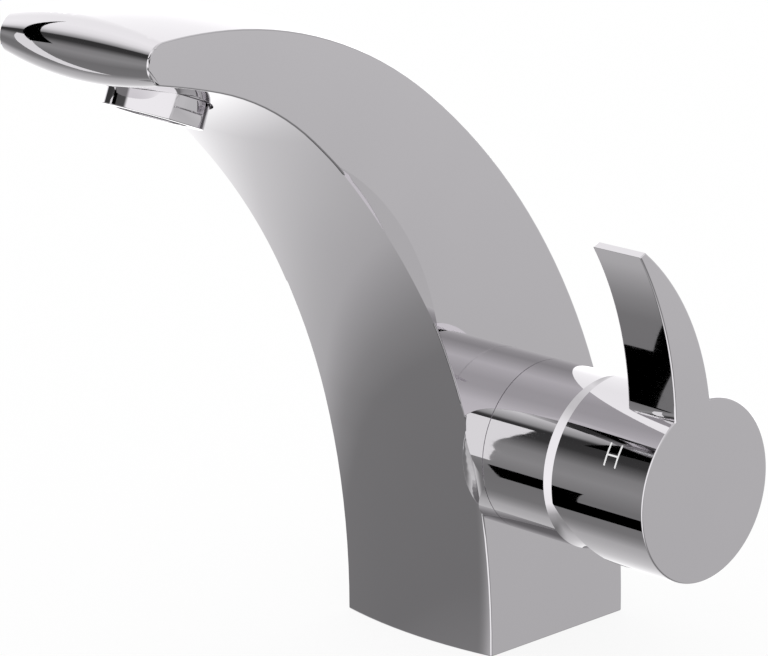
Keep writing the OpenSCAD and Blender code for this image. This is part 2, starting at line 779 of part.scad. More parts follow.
// The horn's side view, with the lever's axis at the origin.
module horn_outline() {
    tip = [-horn_tip_out, horn_tip_up];
    half = horn_tip_l / 2 * [cos(horn_tip_slope), sin(horn_tip_slope)];
    front_root = handle_r * [cos(horn_front_angle), sin(horn_front_angle)];
    back_root = handle_r * [cos(horn_back_angle), sin(horn_back_angle)];
    difference() {
        intersection() {
            translate(meet(back_root, horn_back_r, tip + half, horn_back_r, 1)) circle(r = horn_back_r);
            polygon([[0, 0], [handle_r, handle_r], tip + 4 * half, tip - 4 * half, [-handle_r, handle_r]]);
        }
        translate(meet(front_root, horn_front_r, tip - half, horn_front_r, 1)) circle(r = horn_front_r);
    }
}

module grub_axis() on_axis(grub_x) rotate([90, 0, 0]) children();

module handle() color(chrome)
    difference() {
        union() {
            difference() {
                union() {
                    on_axis(handle_x) cylinder(r = handle_r, h = handle_len - plate_bevel);
                    on_axis(handle_end - plate_bevel)
                        cylinder(r1 = handle_r, r2 = handle_r - plate_bevel, h = plate_bevel);
                }
                on_axis(0) cylinder(r = cavity_r, h = handle_end - plate_t);
                on_axis(handle_x) translate([0, -cut_drop, 0]) rotate([-cut_angle, 0, 0])
                    translate([-2 * handle_r, -4 * handle_r, -4 * handle_r])
                        cube([4 * handle_r, 4 * handle_r, 4 * handle_r]);
            }
            on_axis(handle_end - horn_w) linear_extrude(horn_w) difference() {
                horn_outline();
                circle(r = (handle_r + cavity_r) / 2);
            }
            on_axis(hub_x) cylinder(r = hub_r, h = handle_end - plate_t / 2 - hub_x);
            grub_axis() cylinder(r = grub_boss_r, h = (handle_r + cavity_r) / 2);
        }
        on_axis(0) translate([-stem_square / 2 - fit, -stem_square / 2 - fit, 0])
            cube([stem_square + 2 * fit, stem_square + 2 * fit, pivot_x + stem_len + loose]);
        grub_axis() cylinder(r = grub_r + fit, h = 2 * handle_r);
        grub_axis() translate([0, 0, handle_r - plug_t - loose]) cylinder(r = plug_r + fit, h = 2 * plug_t);
    }

module grub_screw() color(steel)
    grub_axis() translate([0, 0, stem_square / 2]) cylinder(r = grub_r, h = grub_len);

module screw_plug() color(chrome)
    grub_axis() translate([0, 0, handle_r - plug_t - loose]) cylinder(r = plug_r, h = plug_t);

// Places on a six-sided pattern of holes.
module at_jets(pitch, rows)
    for (i = [-rows:rows], j = [-rows:rows]) if (abs(i + j) <= rows)
        translate(pitch * [i + j / 2, j * sin(60)]) children();

module aerator_housing() color(chrome)
    on_outlet() difference() {
        union() {
            cylinder(r = collar_r, h = collar_h);
            cylinder(r = aerator_thread_r, h = collar_h + aerator_thread_len);
        }
        translate([0, 0, -over]) cylinder(r = aerator_lip_r, h = 2 * over + aerator_lip_h);
        translate([0, 0, aerator_lip_h]) cylinder(r = insert_r + fit, h = 2 * collar_h);
        for (turn = [0, 180]) rotate([0, 0, turn])
            translate([wrench_flat_x, -wrench_flat_w, -over])
                cube([collar_r, 2 * wrench_flat_w, over + collar_h / 2]);
    }

module aerator_insert() color(white_plastic)
    on_outlet() translate([0, 0, aerator_lip_h]) difference() {
        cylinder(r = insert_r, h = insert_h);
        translate([0, 0, -over]) at_jets(jet_pitch, jet_rows - 1)
            cylinder(r = jet_r, h = insert_h + 2 * over);
    }

module aerator_screen() color(white_plastic)
    on_outlet() translate([0, 0, aerator_lip_h + insert_h]) difference() {
        cylinder(r = insert_r, h = screen_h);
        translate([0, 0, -over]) at_jets(mesh_pitch, jet_rows) cylinder(r = jet_r, h = screen_h + 2 * over);
    }

module aerator_seal() color(rubber)
    on_outlet() translate([0, 0, collar_h + aerator_thread_len])
        ring(aerator_thread_r - 2 * fit, aerator_mouth_r, seat_drop);

body();
base_gasket();
fixing_stud();
clamp_rubber();
clamp_plate();
fixing_nut();
cover_sleeve();
cartridge_nut();
cartridge_housing();
cartridge_base();
port_seals();
disc_seal();
fixed_disc();
moving_disc();
disc_carrier();
rotor();
stem_pin();
stem();
stop_ring();
handle();
grub_screw();
screw_plug();
aerator_housing();
aerator_seal();
aerator_screen();
aerator_insert();
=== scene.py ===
import json
from math import cos, degrees, pi, radians, sin, tan

import bmesh
import bpy
from mathutils import Matrix, Vector

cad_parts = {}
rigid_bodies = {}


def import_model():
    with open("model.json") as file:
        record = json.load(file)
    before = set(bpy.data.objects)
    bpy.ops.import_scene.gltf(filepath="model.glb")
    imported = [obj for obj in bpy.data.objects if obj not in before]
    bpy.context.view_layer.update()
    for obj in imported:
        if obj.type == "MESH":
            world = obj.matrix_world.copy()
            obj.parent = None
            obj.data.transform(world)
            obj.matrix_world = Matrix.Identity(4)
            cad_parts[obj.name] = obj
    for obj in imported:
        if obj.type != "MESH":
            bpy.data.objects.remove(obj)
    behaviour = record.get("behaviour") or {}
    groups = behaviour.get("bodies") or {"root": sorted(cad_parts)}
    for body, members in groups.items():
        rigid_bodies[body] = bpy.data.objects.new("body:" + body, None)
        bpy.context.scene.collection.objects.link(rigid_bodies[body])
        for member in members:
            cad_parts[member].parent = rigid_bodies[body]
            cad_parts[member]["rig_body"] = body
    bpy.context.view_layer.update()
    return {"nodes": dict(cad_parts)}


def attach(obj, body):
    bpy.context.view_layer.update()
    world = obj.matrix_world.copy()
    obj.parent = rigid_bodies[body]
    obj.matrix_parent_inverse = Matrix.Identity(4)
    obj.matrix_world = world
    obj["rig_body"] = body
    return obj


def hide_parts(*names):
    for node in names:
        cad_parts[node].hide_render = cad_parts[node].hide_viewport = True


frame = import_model()
nodes = frame["nodes"]
scene = bpy.context.scene
mm = 0.001
print("frame loaded:", len(nodes), "nodes")

# Camera, as measured on the photograph (768 x 656, long lens, no shift)
cameraSpot = {"place": (0.6255, -0.6612, 0.3279), "azimuth": 45.03, "elevation": 15.58,
              "roll": 0.03, "lens": 177.85, "sensor": 36.0, "clip": (0.01, 50)}

az, el = radians(cameraSpot["azimuth"]), radians(cameraSpot["elevation"])
towardsCamera = Vector((sin(az) * cos(el), -cos(az) * cos(el), sin(el)))
roll = Matrix.Rotation(radians(cameraSpot["roll"]), 3, "Z").to_quaternion()
cameraData = bpy.data.cameras.new("photoCamera")
cameraData.lens, cameraData.sensor_width = cameraSpot["lens"], cameraSpot["sensor"]
cameraData.clip_start, cameraData.clip_end = cameraSpot["clip"]
camera = bpy.data.objects.new("photoCamera", cameraData)
camera.rotation_mode = "QUATERNION"
camera.location = cameraSpot["place"]
camera.rotation_quaternion = (-towardsCamera).to_track_quat("-Z", "Y") @ roll
scene.collection.objects.link(camera)
scene.camera = camera


# Materials
def addNode(tree, kind, inputs=None, **settings):
    node = tree.nodes.new("ShaderNode" + kind)
    for key, value in settings.items():
        setattr(node, key, value)
    for key, value in (inputs or {}).items():
        if isinstance(value, bpy.types.NodeSocket):
            tree.links.new(value, node.inputs[key])
        else:
            node.inputs[key].default_value = value
    return node


def newGroup(name, numbers, outputs):
    tree = bpy.data.node_groups.new(name, "ShaderNodeTree")
    tree.interface.new_socket("Vector", in_out="INPUT", socket_type="NodeSocketVector")
    for label, value in numbers.items():
        socket = tree.interface.new_socket(label, in_out="INPUT", socket_type="NodeSocketFloat")
        socket.default_value = value
    for label in outputs:
        tree.interface.new_socket(label, in_out="OUTPUT", socket_type="NodeSocketFloat")
    return tree, tree.nodes.new("NodeGroupInput"), tree.nodes.new("NodeGroupOutput")


def makePolishGroup():
    # Faint wipe marks and a slow change of tone, as on polished plating
    tree, entry, end = newGroup("polishMarks", {"Scale": 60.0, "Marks": 0.3}, ("Tone", "Haze", "Height"))
    slow = addNode(tree, "TexNoise", {"Vector": entry.outputs["Vector"], "Scale": entry.outputs["Scale"],
                                      "Detail": 2.0, "Roughness": 0.4})
    wipe = addNode(tree, "Mapping", {"Vector": entry.outputs["Vector"], "Rotation": (0.4, 0.9, 0.3),
                                     "Scale": (1.0, 14.0, 1.0)})
    fine = addNode(tree, "TexNoise", {"Vector": wipe.outputs[0], "Scale": 420.0, "Detail": 4.0})
    haze = addNode(tree, "MapRange", {"Value": fine.outputs[0], "From Min": 0.45, "From Max": 0.75,
                                      "To Max": entry.outputs["Marks"]}, interpolation_type="SMOOTHSTEP")
    tree.links.new(slow.outputs[0], end.inputs["Tone"])
    tree.links.new(haze.outputs[0], end.inputs["Haze"])
    tree.links.new(fine.outputs[0], end.inputs["Height"])
    return tree


def makeGrainGroup():
    # Fine pits and a broad mottle: moulded plastic, rubber, cast or zinc-plated metal
    tree, entry, end = newGroup("surfaceGrain", {"Scale": 900.0, "Mottle": 90.0}, ("Grain", "Mottle", "Height"))
    pits = addNode(tree, "TexNoise", {"Vector": entry.outputs["Vector"], "Scale": entry.outputs["Scale"],
                                      "Detail": 3.0, "Roughness": 0.6})
    cells = addNode(tree, "TexVoronoi", {"Vector": entry.outputs["Vector"], "Scale": entry.outputs["Scale"]})
    broad = addNode(tree, "TexNoise", {"Vector": entry.outputs["Vector"], "Scale": entry.outputs["Mottle"],
                                       "Detail": 2.0})
    both = addNode(tree, "Math", {0: pits.outputs[0], 1: cells.outputs["Distance"]}, operation="MULTIPLY")
    tree.links.new(pits.outputs[0], end.inputs["Grain"])
    tree.links.new(broad.outputs[0], end.inputs["Mottle"])
    tree.links.new(both.outputs[0], end.inputs["Height"])
    return tree


def makeLatheGroup():
    # Turning marks: rings round the X axis of the vector that comes in
    tree, entry, end = newGroup("latheMarks", {"Pitch": 2600.0, "Wander": 1.5}, ("Rings", "Height"))
    apart = addNode(tree, "SeparateXYZ", {0: entry.outputs["Vector"]})
    round_ = addNode(tree, "CombineXYZ", {"Y": apart.outputs["Y"], "Z": apart.outputs["Z"]})
    far = addNode(tree, "VectorMath", {0: round_.outputs[0]}, operation="LENGTH")
    along = addNode(tree, "Math", {0: far.outputs["Value"], 1: apart.outputs["X"]}, operation="ADD")
    wobble = addNode(tree, "TexNoise", {"Vector": entry.outputs["Vector"], "Scale": 150.0})
    shift = addNode(tree, "Math", {0: wobble.outputs[0], 1: entry.outputs["Wander"]}, operation="MULTIPLY")
    turns = addNode(tree, "Math", {0: along.outputs[0], 1: entry.outputs["Pitch"], 2: shift.outputs[0]},
                    operation="MULTIPLY_ADD")
    wave = addNode(tree, "Math", {0: turns.outputs[0]}, operation="SINE")
    rings = addNode(tree, "MapRange", {"Value": wave.outputs[0], "From Min": -1.0, "From Max": 1.0})
    tree.links.new(rings.outputs[0], end.inputs["Rings"])
    tree.links.new(rings.outputs[0], end.inputs["Height"])
    return tree


# Each group's tree, the output that mixes the two tones and the one that sets the roughness
groups = {"polish": (makePolishGroup(), "Tone", "Haze"), "grain": (makeGrainGroup(), "Mottle", "Grain"),
          "lathe": (makeLatheGroup(), "Rings", "Rings")}

# Finishes: the group, two tones, the roughness range, how deep the relief is in metres, and the group's own sizes
finishes = {
    "chrome": {"group": "polish", "tones": ((0.565, 0.55, 0.572), (0.585, 0.568, 0.59)),
               "roughness": (0.022, 0.06), "relief": 2e-7, "metallic": 1.0, "sizes": {"Scale": 35.0, "Marks": 0.5}},
    "castBrass": {"group": "grain", "tones": ((0.42, 0.30, 0.13), (0.56, 0.41, 0.19)),
                  "roughness": (0.42, 0.62), "relief": 1.2e-4, "metallic": 1.0,
                  "sizes": {"Scale": 1500.0, "Mottle": 160.0}},
    "turnedBrass": {"group": "lathe", "tones": ((0.66, 0.47, 0.19), (0.78, 0.58, 0.26)),
                    "roughness": (0.2, 0.3), "relief": 6e-6, "metallic": 1.0,
                    "sizes": {"Pitch": 16000.0, "Wander": 1.0}},
    "zincSteel": {"group": "grain", "tones": ((0.46, 0.47, 0.50), (0.68, 0.69, 0.71)),
                  "roughness": (0.26, 0.4), "relief": 8e-6, "metallic": 1.0,
                  "sizes": {"Scale": 1800.0, "Mottle": 260.0}},
    "stainless": {"group": "lathe", "tones": ((0.55, 0.55, 0.56), (0.66, 0.66, 0.66)),
                  "roughness": (0.18, 0.27), "relief": 4e-6, "metallic": 1.0,
                  "sizes": {"Pitch": 20000.0, "Wander": 2.0}},
    "rubber": {"group": "grain", "tones": ((0.018, 0.018, 0.019), (0.035, 0.035, 0.036)),
               "roughness": (0.62, 0.8), "relief": 4e-5, "metallic": 0.0, "sizes": {"Scale": 1600.0, "Mottle": 120.0}},
    "greyPlastic": {"group": "grain", "tones": ((0.10, 0.115, 0.135), (0.125, 0.14, 0.16)),
                    "roughness": (0.4, 0.52), "relief": 1.5e-5, "metallic": 0.0,
                    "sizes": {"Scale": 2200.0, "Mottle": 70.0}},
    "whitePlastic": {"group": "grain", "tones": ((0.72, 0.73, 0.74), (0.80, 0.81, 0.82)),
                     "roughness": (0.28, 0.4), "relief": 8e-6, "metallic": 0.0,
                     "sizes": {"Scale": 2400.0, "Mottle": 60.0}},
    "bluePlastic": {"group": "grain", "tones": ((0.022, 0.065, 0.25), (0.03, 0.085, 0.31)),
                    "roughness": (0.35, 0.48), "relief": 1e-5, "metallic": 0.0,
                    "sizes": {"Scale": 2200.0, "Mottle": 80.0}},
    "ceramic": {"group": "grain", "tones": ((0.80, 0.78, 0.71), (0.88, 0.86, 0.80)),
                "roughness": (0.1, 0.2), "relief": 2e-6, "metallic": 0.0, "sizes": {"Scale": 3000.0, "Mottle": 300.0}},
    "markEnamel": {"group": "grain", "tones": ((0.86, 0.86, 0.86), (0.93, 0.93, 0.93)),
                   "roughness": (0.25, 0.35), "relief": 2e-6, "metallic": 0.0,
                   "sizes": {"Scale": 2500.0, "Mottle": 400.0}},
}


def makeFinish(name, spec, centre=(0, 0, 0), turn=(0, 0, 0)):
    material = bpy.data.materials.new(name)
    material.use_nodes = True
    tree = material.node_tree
    shader = tree.nodes["Principled BSDF"]
    shader.inputs["Metallic"].default_value = spec["metallic"]
    place = addNode(tree, "TexCoord")
    moved = addNode(tree, "Mapping", {"Vector": place.outputs["Object"], "Location": centre, "Rotation": turn},
                    vector_type="TEXTURE")
    group, toneMask, roughMask = groups[spec["group"]]
    marks = addNode(tree, "Group", node_tree=group)
    tree.links.new(moved.outputs[0], marks.inputs["Vector"])
    for label, value in spec["sizes"].items():
        marks.inputs[label].default_value = value
    low, high = spec["tones"]
    tone = addNode(tree, "Mix", {"Factor": marks.outputs[toneMask]}, data_type="RGBA")
    tone.inputs["A"].default_value, tone.inputs["B"].default_value = (*low, 1), (*high, 1)
    rough = addNode(tree, "MapRange", {"Value": marks.outputs[roughMask], "To Min": spec["roughness"][0],
                                       "To Max": spec["roughness"][1]})
    bump = addNode(tree, "Bump", {"Height": marks.outputs["Height"], "Distance": spec["relief"], "Strength": 1.0})
    tree.links.new(tone.outputs["Result"], shader.inputs["Base Color"])
    tree.links.new(rough.outputs[0], shader.inputs["Roughness"])
    tree.links.new(bump.outputs[0], shader.inputs["Normal"])
    return material


leverAxis = {"pivot": 50, "y": -15.1, "z": 54.5}   # in mm, like every size below
onLeverAxis = Vector(leverAxis.values()) * mm
upright = (0, radians(-90), 0)   # turns the rings' axis from X to Z
studSpot = (0, -12.5 * mm, 0)
materials = {name: makeFinish(name, spec) for name, spec in finishes.items() if spec["group"] != "lathe"}
for name in ("turnedBrass", "stainless"):
    materials[name] = makeFinish(name, finishes[name], onLeverAxis)
materials["nutBrass"] = makeFinish("nutBrass", finishes["turnedBrass"], studSpot, upright)

nodeFinishes = {
    "chrome": ("body", "cover_sleeve", "handle", "aerator_housing", "screw_plug"),
    "turnedBrass": ("cartridge_nut",), "nutBrass": ("fixing_nut",),
    "zincSteel": ("fixing_stud", "clamp_plate", "grub_screw"), "stainless": ("stem", "stem_pin"),
    "rubber": ("base_gasket", "clamp_rubber", "port_seals", "disc_seal", "aerator_seal"),
    "greyPlastic": ("cartridge_housing", "cartridge_base"),
    "whitePlastic": ("rotor", "stop_ring", "aerator_insert", "aerator_screen"),
    "bluePlastic": ("disc_carrier",), "ceramic": ("fixed_disc", "moving_disc"),
}
for finish, names in nodeFinishes.items():
    for name in names:
        nodes[name].data.materials.clear()
        nodes[name].data.materials.append(materials[finish])
print("materials made:", len(materials))


# Shells: a copy of a CAD piece with its edges rounded, which then stands for it
mergeWithin = 0.02 * mm


def mergedCopy(name):
    mesh = bmesh.new()
    mesh.from_mesh(nodes[name].data)
    bmesh.ops.remove_doubles(mesh, verts=mesh.verts, dist=mergeWithin)
    bmesh.ops.dissolve_degenerate(mesh, edges=mesh.edges, dist=mergeWithin)
    return mesh


def objectFrom(mesh, name):
    data = bpy.data.meshes.new(name)
    mesh.to_mesh(data)
    mesh.free()
    thing = bpy.data.objects.new(name, data)
    scene.collection.objects.link(thing)
    return thing


def pieceFrom(mesh, name, finishNames, body, *replaced):
    piece = objectFrom(mesh, name)
    for finish in finishNames:
        piece.data.materials.append(materials[finish])
    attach(piece, body)
    if replaced:
        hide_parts(*replaced)
    return piece


def sharpen(mesh, angle, rounded=None):
    # Smooth faces, sharp edges over the angle, and bevel weight on the convex ones that are to be rounded
    weights = mesh.edges.layers.float.new("bevel_weight_edge")
    for face in mesh.faces:
        face.smooth = True
    for edge in mesh.edges:
        if len(edge.link_faces) == 2 and edge.calc_face_angle(0) > radians(angle):
            edge.smooth = False
            if rounded and edge.is_convex and rounded((edge.verts[0].co + edge.verts[1].co) / 2):
                edge[weights] = 1


def bakeModifiers(piece):
    bpy.context.view_layer.update()
    baked = bpy.data.meshes.new_from_object(piece.evaluated_get(bpy.context.evaluated_depsgraph_get()))
    piece.modifiers.clear()
    piece.data = baked


def roundEdges(piece, width):
    bevel = piece.modifiers.new("roundedEdges", "BEVEL")
    bevel.limit_method, bevel.width, bevel.segments = "WEIGHT", width * mm, 2
    bevel.harden_normals, bevel.use_clamp_overlap, bevel.miter_outer = True, False, "MITER_SHARP"
    bakeModifiers(piece)


# The body's curves in the side view, each as its radius and the direction in which it passes into
# the next, given by a whole-number triangle
bodyForm = {"halfWidth": 25, "depth": 53.2, "crown": 121.5,
            "back": ((224.9, (3116, 237, 3125)), (179.1, (3, 4, 5)), (121.4, (237, 3116, 3125)),
                     (130.4, (-237, 3116, 3125)), (7.5, None)),
            "front": ((206.395, (24, 7, 25)), (167.6, (10296, 11753, 15625)), (71.6, (7, 24, 25)), (187.1, None)),
            "seam": 32.9, "boss": 21.1, "flare": 8.2, "flareBack": 5.4,
            "facet": 66.7, "facetSpot": (-108.8, 74.2), "facetWidth": 3.7, "facetDepth": 0.6,
            "facetPolish": 3}


def arcCentres(end, arcs):
    # The first arc's centre lies level with the deck, behind the end at which the arc meets it
    centre, found = Vector((end - arcs[0][0], 0)), []
    for k, (radius, way) in enumerate(arcs):
        found.append((centre.copy(), radius))
        if way:
            centre += (radius - arcs[k + 1][0]) * Vector(way[:2]) / way[2]
    return found


# Each surface below says how far a point in mm lies off it, and gives its normal there
def bentBarrel(centre, ringR, ringX, tube):
    # A tube that is bent round a centre of the side view
    def measure(p):
        out = Vector((p.y, p.z)) - centre
        out *= ringR / out.length
        away = p - Vector((ringX, centre.x + out.x, centre.y + out.y))
        return abs(away.length - tube), away.normalized()
    return measure


def leverBar(radius):
    # A cylinder round the lever's axis
    def measure(p):
        away = Vector((0, p.y - leverAxis["y"], p.z - leverAxis["z"]))
        return abs(away.length - radius), away.normalized()
    return measure


def flatFace(x):
    return lambda p: (abs(p.x - x), Vector((1 if x > 0 else -1, 0, 0)))


def facetCone(side):
    slope = bodyForm["facetWidth"] / bodyForm["facetDepth"]
    polished = bodyForm["facetPolish"] * slope   # polishing leaves the facet flatter than it was cut
    y, z = bodyForm["facetSpot"]

    def measure(p):
        away = Vector((0, p.y - y, p.z - z))
        want = bodyForm["facet"] + (abs(p.x) - bodyForm["halfWidth"]) * slope
        return abs(away.length - want) / slope, (Vector((side * polished, 0, 0)) - away.normalized()).normalized()
    return measure


# How near a corner lies to its surface, and how well their normals agree, on a face and on a rounded edge
onSurface = {"off": 0.03, "face": 0.985, "edge": 0.5}


def trueNormals(piece, surfaces):
    # Gives each corner the exact normal of the surface that it lies on, and each rounded edge its neighbours'
    mesh = piece.data
    normals = [Vector(corner.vector) for corner in mesh.corner_normals]
    points = [v.co / mm for v in mesh.vertices]
    known = {}
    for face in mesh.polygons:
        for corner in face.loop_indices:
            spot = mesh.loops[corner].vertex_index
            best = None
            for measure in surfaces:
                off, normal = measure(points[spot])
                match = normal.dot(face.normal)
                if off < onSurface["off"] and match > onSurface["face"] and (best is None or match > best[0]):
                    best = (match, normal)
            if best:
                normals[corner] = best[1]
                known.setdefault(spot, []).append(best[1])
    for face in mesh.polygons:
        for corner in face.loop_indices:
            near = known.get(mesh.loops[corner].vertex_index)
            if near:
                closest = max(near, key=face.normal.dot)
                if onSurface["edge"] < closest.dot(face.normal) <= onSurface["face"]:
                    normals[corner] = closest
    mesh.normals_split_custom_set(normals)


# Body: plated outside, rough cast brass inside, machined where the cartridge and the hoses seat
bodyEdges = {"width": 0.4, "angle": 20, "sides": (24.9, 26.2), "foot": 0.1, "footRim": 22.5}
bodyPatches = {"finishes": ("chrome", "castBrass", "turnedBrass"), "outside": 24.3, "chamber": 18.6,
               "inletTop": 20, "inletReach": 24, "outlet": -110, "platedMouth": 17}
mesh = mergedCopy("body")
reach = Vector(onLeverAxis[1:])


def onRim(p):
    low, high = bodyEdges["sides"]
    atFoot = p.z < bodyEdges["foot"] * mm and max(abs(p.x), abs(p.y)) > bodyEdges["footRim"] * mm
    return low * mm < abs(p.x) < high * mm or atFoot


def patchFinish(patch):
    # The finish's place in the list: 0 plated, 1 as cast, 2 machined
    spots = [v.co for face in patch for v in face.verts]
    widest = max(abs(p.x) for p in spots)
    offAxis = max((Vector((p.y, p.z)) - reach).length for p in spots)
    offOutlet = max(Vector((p.x, p.y - bodyPatches["outlet"] * mm)).length for p in spots)
    inlet = max(p.z for p in spots) < bodyPatches["inletTop"] * mm and widest < bodyPatches["inletReach"] * mm
    if offAxis < bodyPatches["chamber"] * mm or inlet:
        return 2
    return 1 if widest < bodyPatches["outside"] * mm and offOutlet > bodyPatches["platedMouth"] * mm else 0


sharpen(mesh, bodyEdges["angle"], onRim)
left = set(mesh.faces)
while left:   # one patch of smooth surface at a time
    patch, edgeFaces = [], [left.pop()]
    while edgeFaces:
        face = edgeFaces.pop()
        patch.append(face)
        for edge in face.edges:
            if edge.smooth:
                for other in edge.link_faces:
                    if other in left:
                        left.remove(other)
                        edgeFaces.append(other)
    kind = patchFinish(patch)
    for face in patch:
        face.material_index = kind
casting = pieceFrom(mesh, "bodyCasting", bodyPatches["finishes"], "fixed", "body")
roundEdges(casting, bodyEdges["width"])
surfaces = [flatFace(bodyForm["halfWidth"]), flatFace(-bodyForm["halfWidth"]), facetCone(1), facetCone(-1),
            leverBar(bodyForm["boss"])]
for centre, radius in arcCentres(bodyForm["depth"] / 2, bodyForm["back"]):
    surfaces.append(bentBarrel(centre, radius - bodyForm["crown"], 0, bodyForm["crown"]))
for centre, radius in arcCentres(-bodyForm["depth"] / 2, bodyForm["front"]):
    surfaces.append(bentBarrel(centre, radius + bodyForm["crown"], 0, bodyForm["crown"]))
    surfaces.append(bentBarrel(centre, radius + bodyForm["flareBack"], bodyForm["seam"], bodyForm["flare"]))
trueNormals(casting, surfaces)
print("body casting:", len(casting.data.polygons), "faces")

# Lever: cylinder, end plate and horn in one casting
leverForm = {"radius": 22.3, "end": 84.5, "edge": 0.45, "angle": 25, "rim": 22.6}
mesh = mergedCopy("handle")
sharpen(mesh, leverForm["angle"], lambda p: (Vector((p.y, p.z)) - reach).length > leverForm["rim"] * mm)
lever = pieceFrom(mesh, "leverCasting", ("chrome",), "lever", "handle")
roundEdges(lever, leverForm["edge"])
trueNormals(lever, [flatFace(leverForm["end"]), leverBar(leverForm["radius"])])
print("lever:", len(lever.data.polygons), "faces")

# Cover sleeve: turned cylinder with a rounded rear edge and the domed ring in front, each point
# as its distance along the axis and its radius
sleeveForm = {"rear": 32.95, "radius": 21.1, "wall": 1.1, "edge": 0.2, "edgeShare": 0.3, "turns": 160, "angle": 12,
              "outer": ((52.7, 21.1), (53.5, 20.78), (54.8, 20.37), (56.4, 19.92), (58.5, 19.2), (60.8, 18.1),
                        (63.1, 16.6)),
              "inner": ((62.2, 16.6), (60.2, 17.5), (58, 18.3), (55.6, 18.95), (53.2, 19.7))}


turnedMerge = 0.001 * mm


def turned(profile, steps, centre, axis):
    # Turns an outline of (along, out) points, in mm, round a line
    mesh = bmesh.new()
    across = Vector((0, 0, 1)) if abs(axis.z) < 0.5 else Vector((1, 0, 0))
    across = (across - axis * across.dot(axis)).normalized()
    ring = [mesh.verts.new(centre + axis * (a * mm) + across * (r * mm)) for a, r in profile]
    for k in range(len(ring)):
        mesh.edges.new((ring[k], ring[(k + 1) % len(ring)]))
    bmesh.ops.spin(mesh, geom=mesh.verts[:] + mesh.edges[:], cent=centre, axis=axis, angle=2 * pi,
                   steps=steps, use_merge=True)
    bmesh.ops.remove_doubles(mesh, verts=mesh.verts, dist=turnedMerge)
    bmesh.ops.recalc_face_normals(mesh, faces=mesh.faces)
    return mesh


rear, radius, edge = sleeveForm["rear"], sleeveForm["radius"], sleeveForm["edge"]
short = sleeveForm["edgeShare"] * edge
outline = [(rear, radius - sleeveForm["wall"]), (rear, radius - edge), (rear + short, radius - short),
           (rear + edge, radius), *sleeveForm["outer"], *sleeveForm["inner"]]
mesh = turned(outline, sleeveForm["turns"], Vector((0, *onLeverAxis[1:])), Vector((1, 0, 0)))
sharpen(mesh, sleeveForm["angle"])
sleeve = pieceFrom(mesh, "sleeveTurning", ("chrome",), "fixed", "cover_sleeve")
print("sleeve:", len(sleeve.data.polygons), "faces")

# Small pieces that only need their edges broken
brokenEdges = {
    "aerator_housing": {"width": 0.25, "angle": 25, "finish": "chrome", "slot": "chrome", "name": "aeratorCollar"},
    "aerator_insert": {"width": 0.12, "angle": 30, "finish": "whitePlastic", "slot": "white_plastic",
                       "name": "jetInsert"},
    "screw_plug": {"width": 0.25, "angle": 30, "finish": "chrome", "slot": "chrome", "name": "screwPlug"},
    "base_gasket": {"width": 0.3, "angle": 30, "finish": "rubber", "slot": "rubber", "name": "footGasket"},
    "clamp_rubber": {"width": 0.4, "angle": 30, "finish": "rubber", "slot": "rubber", "name": "clampPad"},
    "clamp_plate": {"width": 0.35, "angle": 30, "finish": "zincSteel", "slot": "steel", "name": "clampHorseshoe"},
    "cartridge_nut": {"width": 0.25, "angle": 30, "finish": "turnedBrass", "slot": "brass", "name": "ringNut"},
    "cartridge_housing": {"width": 0.3, "angle": 30, "finish": "greyPlastic", "slot": "grey_plastic",
                          "name": "cartridgeCase"},
    "stop_ring": {"width": 0.15, "angle": 30, "finish": "whitePlastic", "slot": "white_plastic", "name": "stopRing"},
    "stem": {"width": 0.2, "angle": 30, "finish": "stainless", "slot": "steel", "name": "leverStem"},
}
for name, spec in brokenEdges.items():
    mesh = mergedCopy(name)
    sharpen(mesh, spec["angle"], lambda p: True)
    piece = pieceFrom(mesh, spec["name"], (spec["finish"],), nodes[name]["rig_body"], name)
    roundEdges(piece, spec["width"])
print("edges broken on", len(brokenEdges), "small pieces")

# Stud with its thread, and the long nut with its corners turned off
studForm = {"radius": 3.95, "root": 3.3, "pitch": 1.25, "low": -62, "high": 24, "threadTop": 8,
            "stepsPerTurn": 24, "shankSides": 48, "angle": 25, "merge": 0.004, "spareTurns": 2}
toothShares = ((0, "root"), (1 / 8, "root"), (4 / 8, "radius"), (5 / 8, "radius"), (1, "root"))


def threadedBar(form):
    # One tooth's outline is turned and raised together, a turn for each pitch
    mesh = bmesh.new()
    turnsCount = int((form["threadTop"] - form["low"]) / form["pitch"]) + form["spareTurns"]
    start = form["low"] - form["pitch"]
    chain = [mesh.verts.new((form[place] * mm, studSpot[1], (start + share * form["pitch"]) * mm))
             for share, place in toothShares]
    for k in range(len(chain) - 1):
        mesh.edges.new((chain[k], chain[k + 1]))
    bmesh.ops.spin(mesh, geom=mesh.verts[:] + mesh.edges[:], cent=studSpot, axis=(0, 0, 1),
                   dvec=(0, 0, form["pitch"] * mm / form["stepsPerTurn"]), angle=2 * pi * turnsCount,
                   steps=turnsCount * form["stepsPerTurn"])
    bmesh.ops.remove_doubles(mesh, verts=mesh.verts, dist=form["merge"] * mm)
    for height, keepAbove in ((form["low"], True), (form["threadTop"], False)):
        cut = bmesh.ops.bisect_plane(mesh, geom=mesh.verts[:] + mesh.edges[:] + mesh.faces[:], dist=1e-7,
                                     plane_co=(0, 0, height * mm), plane_no=(0, 0, 1),
                                     clear_inner=keepAbove, clear_outer=not keepAbove)
        rim = [e for e in cut["geom_cut"] if isinstance(e, bmesh.types.BMEdge)]
        bmesh.ops.contextual_create(mesh, geom=rim)
    bmesh.ops.recalc_face_normals(mesh, faces=mesh.faces)
    return mesh


